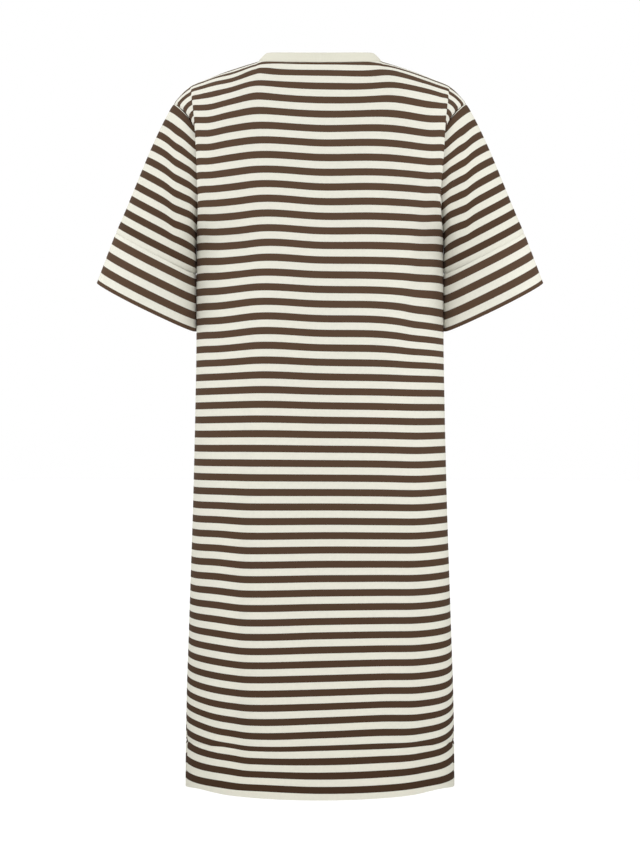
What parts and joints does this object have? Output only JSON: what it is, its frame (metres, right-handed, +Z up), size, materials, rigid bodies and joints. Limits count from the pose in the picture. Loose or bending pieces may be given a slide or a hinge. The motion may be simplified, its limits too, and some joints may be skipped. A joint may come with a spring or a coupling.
{
  "type": "striped jersey dress",
  "caption": "Hollow worn form of a striped jersey dress with dropped shoulders, cuffed elbow-length sleeves, ribbed neckband, deep hem band and side slits.",
  "frame": {"origin": "where the wearer's shoulders hold it: midway between back and front, in the middle of the neck, level with the side of the neckline", "axes": "+Z up along the wearer, -Y towards the wearer's back, -X towards the wearer's left"},
  "size_m": [0.637, 0.2316, 1.0488],
  "materials": {
    "striped_jersey": "matte yarn-dyed cotton jersey in equal brown and cream stripes of 10 mm",
    "cream_rib": "matte fine cream rib"
  },
  "bodies": {
    "root": {"back_panel": "striped_jersey", "front_panel": "striped_jersey", "sleeve_left": "striped_jersey", "sleeve_right": "striped_jersey", "cuff_left": "striped_jersey", "cuff_right": "striped_jersey", "hem_band_back": "striped_jersey", "hem_band_front": "striped_jersey", "neckband": "cream_rib"}
  },
  "joints": []
}
